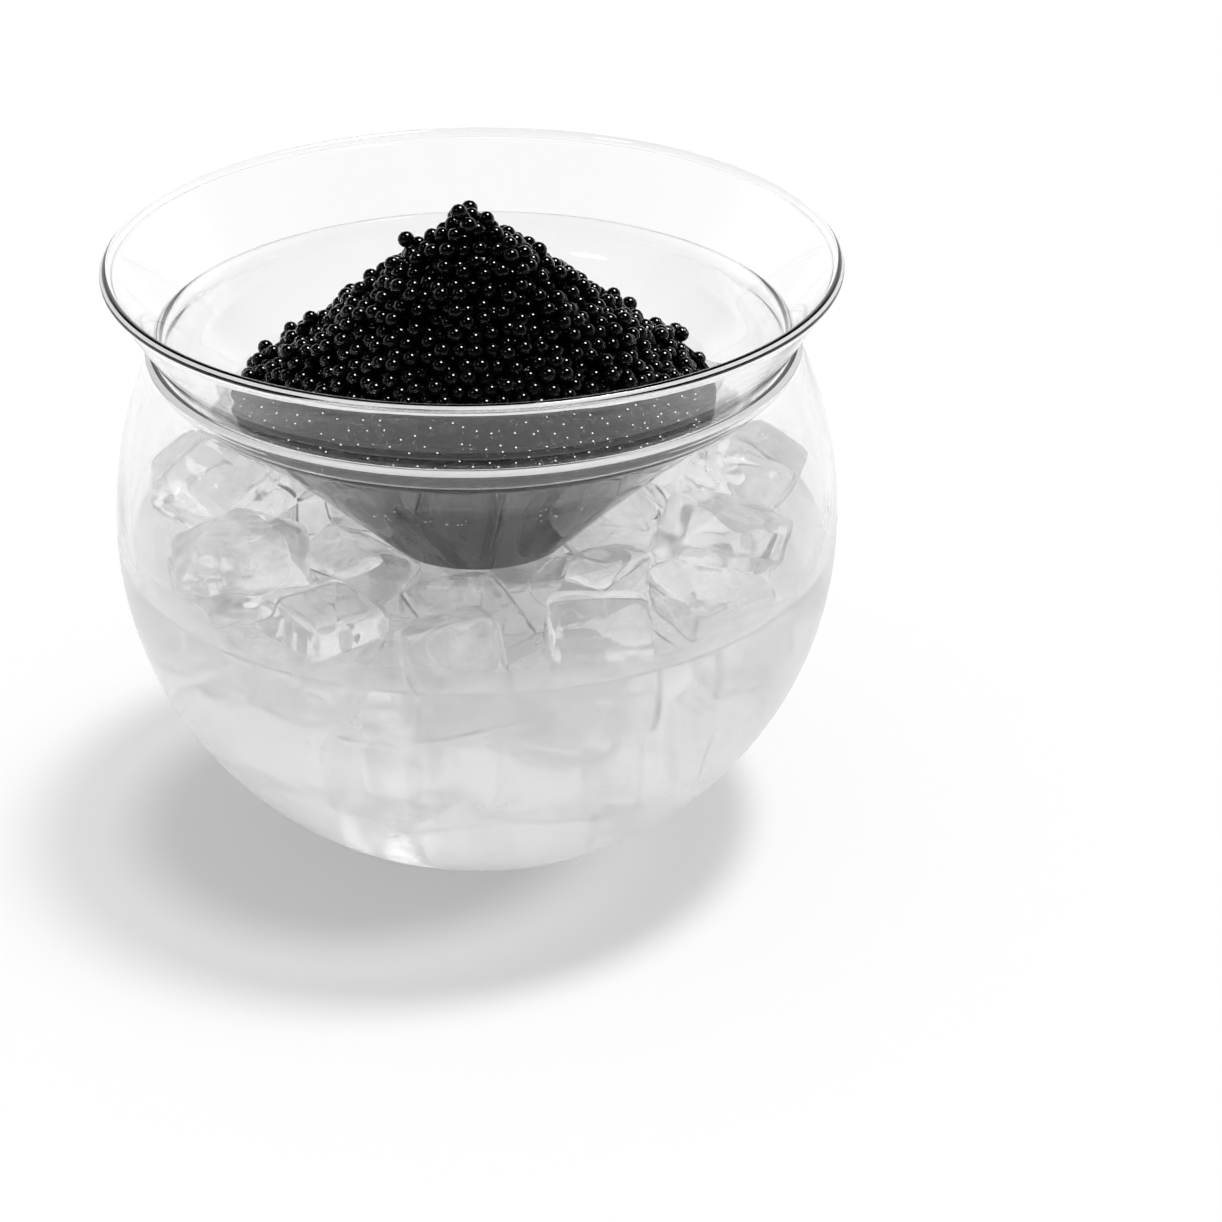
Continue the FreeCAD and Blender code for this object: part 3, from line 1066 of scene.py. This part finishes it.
def white_floor(light):
    """A white paper sweep: matt, and topped up to plain white where the camera or glass sees it.

    The top-up is so small that it keeps the server's shadow.
    """
    material, tree, _ = new_material("studio_floor")
    rays = add_node(tree, "LightPath")
    camera, mirrored = rays.outputs["Is Camera Ray"], rays.outputs["Is Glossy Ray"]
    direct = add_node(tree, "Math", LARGER, {0: camera, 1: mirrored})
    seen = add_node(tree, "Math", LARGER, {0: direct, 1: rays.outputs["Is Transmission Ray"]})
    strength = add_node(tree, "Math", TIMES, {0: seen, 1: light.glow})
    diffuse = add_node(tree, "BsdfDiffuse", {}, {"Color": linear(0xEFEFEF)})
    glow = add_node(tree, "Emission", {}, {"Color": linear(0xFFFFFF), "Strength": strength})
    both = add_node(tree, "AddShader", {}, {0: diffuse, 1: glow})
    add_node(tree, "OutputMaterial", {}, {"Surface": both})
    return material


def softbox(tree, place, azimuth, elevation, size, strength):
    """Light of a round softbox that gloss shows: full strength within an angle of its direction."""
    soft = 0.004
    flat = math.cos(math.radians(elevation))
    turn = math.radians(azimuth)
    towards = (math.cos(turn) * flat, math.sin(turn) * flat, math.sin(math.radians(elevation)))
    near = add_node(tree, "VectorMath", {"operation": "DOT_PRODUCT"}, {0: place, 1: towards})
    edge = math.cos(math.radians(size))
    inputs = fade(near.outputs["Value"], edge - soft, edge + soft, 0.0, strength)
    return add_node(tree, "MapRange", SMOOTH, inputs)


def studio_world(light):
    """White studio walls, as each kind of ray sees them.

    The camera sees plain white. Glass shows white, darker overhead and to the front. Gloss shows white low
    down at the back, dark elsewhere, and the softboxes. Matt things are lit by a bright band low down and by
    the fill above it. A ray through clear glass counts as glossy too, so what glass shows is put over what
    gloss shows.
    """
    world = bpy.data.worlds.new("studio")
    bpy.context.scene.world = world
    world.use_nodes = True
    world.cycles.sampling_method = "NONE"
    tree = world.node_tree
    tree.nodes.clear()
    rays = add_node(tree, "LightPath")
    place = add_node(tree, "TexCoord").outputs["Generated"]
    parts = add_node(tree, "SeparateXYZ", {}, {0: place})
    height, depth = parts.outputs["Z"], parts.outputs["Y"]
    overhead = add_node(tree, "MapRange", SMOOTH, fade(height, 0.8, 0.97, 1.0, 0.75))
    ahead = add_node(tree, "MapRange", SMOOTH, fade(depth, -0.6, 0.0, 0.35, 1.0))
    through = add_node(tree, "Math", TIMES, {0: overhead, 1: ahead})
    low = add_node(tree, "MapRange", SMOOTH, fade(height, 0.3, 0.5, 1.3, 0.02))
    behind = add_node(tree, "MapRange", SMOOTH, fade(depth, -0.1, 0.4, 0.03, 1.0))
    mirrored = add_node(tree, "Math", TIMES, {0: low, 1: behind})
    around = add_node(tree, "MapRange", SMOOTH, fade(height, 0.3, 0.6, 1.6, light.fill))
    for box in SOFTBOXES:
        mirrored = add_node(tree, "Math", PLUS, {0: mirrored, 1: softbox(tree, place, *box)})
    kinds = (
        (rays.outputs["Is Transmission Ray"], through),
        (rays.outputs["Is Diffuse Ray"], around),
        (rays.outputs["Is Camera Ray"], 1.0),
    )
    shown = mirrored
    for kind, level in kinds:
        shown = add_node(tree, "Mix", {}, {0: kind, 2: shown, 3: level})
    background = add_node(tree, "Background", {}, {"Color": linear(0xFFFFFF), "Strength": shown})
    add_node(tree, "OutputWorld", {}, {"Surface": background})


def floor_disc():
    """Points and faces of a round floor: rings of points at even steps out from a middle point."""
    turns = 64
    radii = np.linspace(0.1, 6, 24)
    below_foot = -0.1 * MM
    angles = np.linspace(0, 2 * math.pi, turns, endpoint=False)
    rings = np.stack([radii[:, None] * np.cos(angles), radii[:, None] * np.sin(angles)], 2).reshape(-1, 2)
    flat = np.concatenate([rings, [[0, 0]]])
    points = np.concatenate([flat, np.full((len(flat), 1), below_foot)], 1)
    index = np.arange(len(rings)).reshape(-1, turns)
    beside = np.roll(index, -1, 1)
    quads = np.stack([index[:-1], index[1:], beside[1:], beside[:-1]], 2).reshape(-1, 4)
    middle = np.stack([index[0], beside[0], np.full(turns, len(rings))], 1)
    return points, [quads, middle]


class SERVER_OT_stage(bpy.types.Operator):
    """Set the floor, the lamps and the camera"""

    bl_idname = "server.stage"
    bl_label = "Stage"

    def execute(self, context):
        scene = context.scene
        light = scene.server_light
        floor = new_mesh("floor", *floor_disc(), white_floor(light))
        studio_world(light)

        key = bpy.data.lights.new("key", "SUN")
        key.energy = light.key
        key.angle = light.key_softness
        lamp = bpy.data.objects.new("key", key)
        lamp.rotation_euler = (math.radians(-3), math.radians(15), 0)
        scene.collection.objects.link(lamp)

        camera = bpy.data.cameras.new("camera")
        camera.sensor_width = 36.0
        camera.lens = CAMERA_LENS
        camera.clip_start = 0.01
        seen_from = bpy.data.objects.new("camera", camera)
        rows = zip(CAMERA_RIGHT, CAMERA_UP, CAMERA_BACK, CAMERA_PLACE)
        seen_from.matrix_world = Matrix([*rows, (0, 0, 0, 1)])
        scene.collection.objects.link(seen_from)
        scene.camera = seen_from
        scene.view_settings.view_transform = "Standard"
        scene.cycles.max_bounces = 14
        scene.cycles.transmission_bounces = 14
        scene.cycles.transparent_max_bounces = 32
        return {"FINISHED"}


OPERATORS = (
    SERVER_OT_stage,
    SERVER_OT_bowl,
    SERVER_OT_dish,
    SERVER_OT_ice,
    SERVER_OT_water,
    SERVER_OT_caviar,
)


GROUPS = {
    "server_glass": GlassSizes,
    "server_ice": IceSizes,
    "server_roe": RoeSizes,
    "server_light": StudioLight,
}


class SERVER_PT_panel(bpy.types.Panel):
    """Lists the sizes and colours, and the steps that make the server from them"""

    bl_idname = "SERVER_PT_panel"
    bl_label = "Caviar server"
    bl_space_type = "VIEW_3D"
    bl_region_type = "UI"
    bl_category = "Caviar server"

    def draw(self, context):
        for group in GROUPS:
            box = self.layout.box()
            sizes = getattr(context.scene, group)
            for name in sizes.__annotations__:
                box.prop(sizes, name)
        for operator in OPERATORS:
            self.layout.operator(operator.bl_idname)


CLASSES = (*GROUPS.values(), *OPERATORS, SERVER_PT_panel)


def register():
    """Makes the classes known, and gives the scene its groups of sizes."""
    for made in CLASSES:
        bpy.utils.register_class(made)
    for name, group in GROUPS.items():
        setattr(bpy.types.Scene, name, bpy.props.PointerProperty(type=group))


def unregister():
    """Takes back what register did."""
    for name in GROUPS:
        delattr(bpy.types.Scene, name)
    for made in reversed(CLASSES):
        bpy.utils.unregister_class(made)


def main():
    """Makes the server and its stage."""
    register()
    for operator in OPERATORS:
        group, name = operator.bl_idname.split(".")
        getattr(getattr(bpy.ops, group), name)()


if __name__ == "__main__":
    main()
